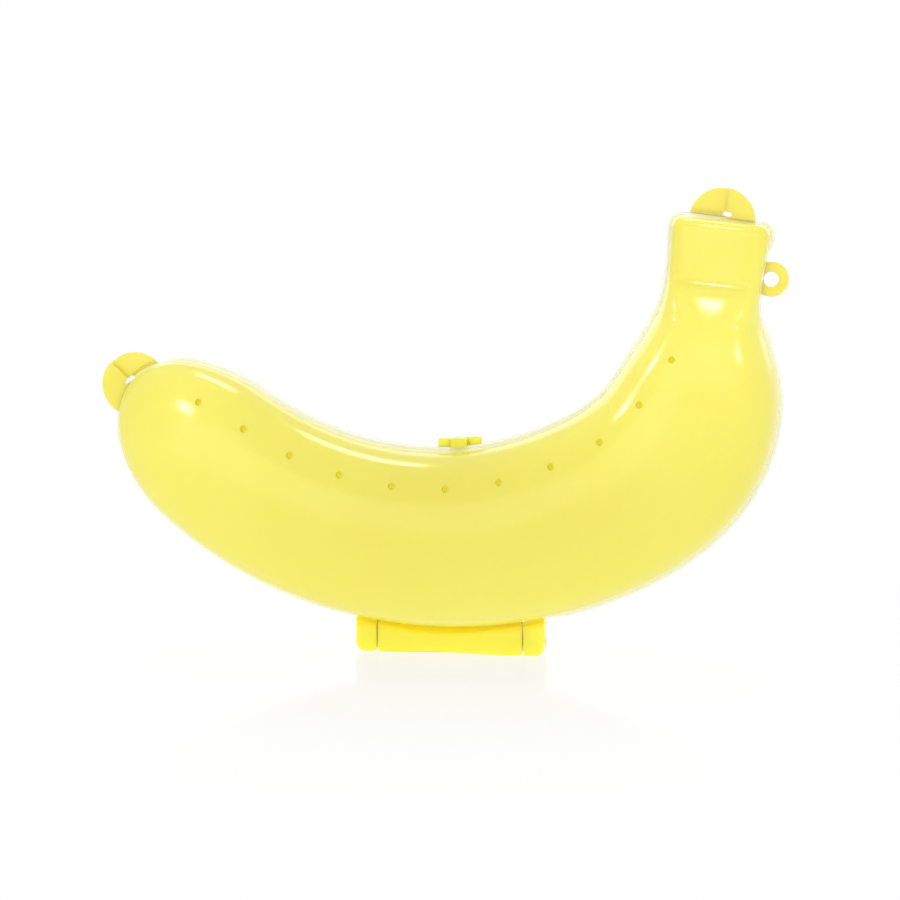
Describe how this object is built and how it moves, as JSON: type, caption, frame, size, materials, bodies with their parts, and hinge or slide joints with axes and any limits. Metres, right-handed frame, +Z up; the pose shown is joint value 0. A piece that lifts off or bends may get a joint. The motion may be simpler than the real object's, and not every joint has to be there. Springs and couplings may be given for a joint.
{
  "type": "banana carrying case",
  "caption": "Banana-shaped hard carrying case in glossy lemon plastic: two hinged half shells with vent holes, a snap latch, split finger tabs and a key-ring loop.",
  "frame": {"origin": "centre of the flat foot under the middle hinge knuckle, on the parting plane", "axes": "+X from the blunt tip towards the stem, +Y from the front half to the back half, +Z up"},
  "size_m": [0.1954, 0.044, 0.132],
  "materials": {
    "shell_plastic": "glossy moulded lemon polypropylene",
    "hinge_plastic": "glossy moulded lemon polypropylene, solid section"
  },
  "bodies": {
    "back": {"back_shell": "shell_plastic", "back_hinge_knuckle": "hinge_plastic", "back_tip_tab": "shell_plastic", "back_stem_tab": "shell_plastic", "back_latch_keeper": "hinge_plastic", "key_loop": "shell_plastic", "hinge_pin": "hinge_plastic"},
    "front": {"front_shell": "shell_plastic", "front_hinge_knuckle_left": "hinge_plastic", "front_hinge_knuckle_right": "hinge_plastic", "front_tip_tab": "shell_plastic", "front_stem_tab": "shell_plastic", "front_latch_boss": "hinge_plastic"},
    "latch": {"latch_tongue": "hinge_plastic"}
  },
  "joints": [
    {"name": "case_hinge", "type": "hinge", "parent": "back", "child": "front", "pos_m": [0, 0, 0.0035], "axis": [1, 0, 0], "range_deg": [0, 180]},
    {"name": "latch_flex", "type": "hinge", "parent": "front", "child": "latch", "pos_m": [0.0022, -0.00045, 0.06113], "axis": [0.9976, 0, 0.0689], "range_deg": [0, 12], "stiffness_Nm_per_rad": 0.04}
  ]
}
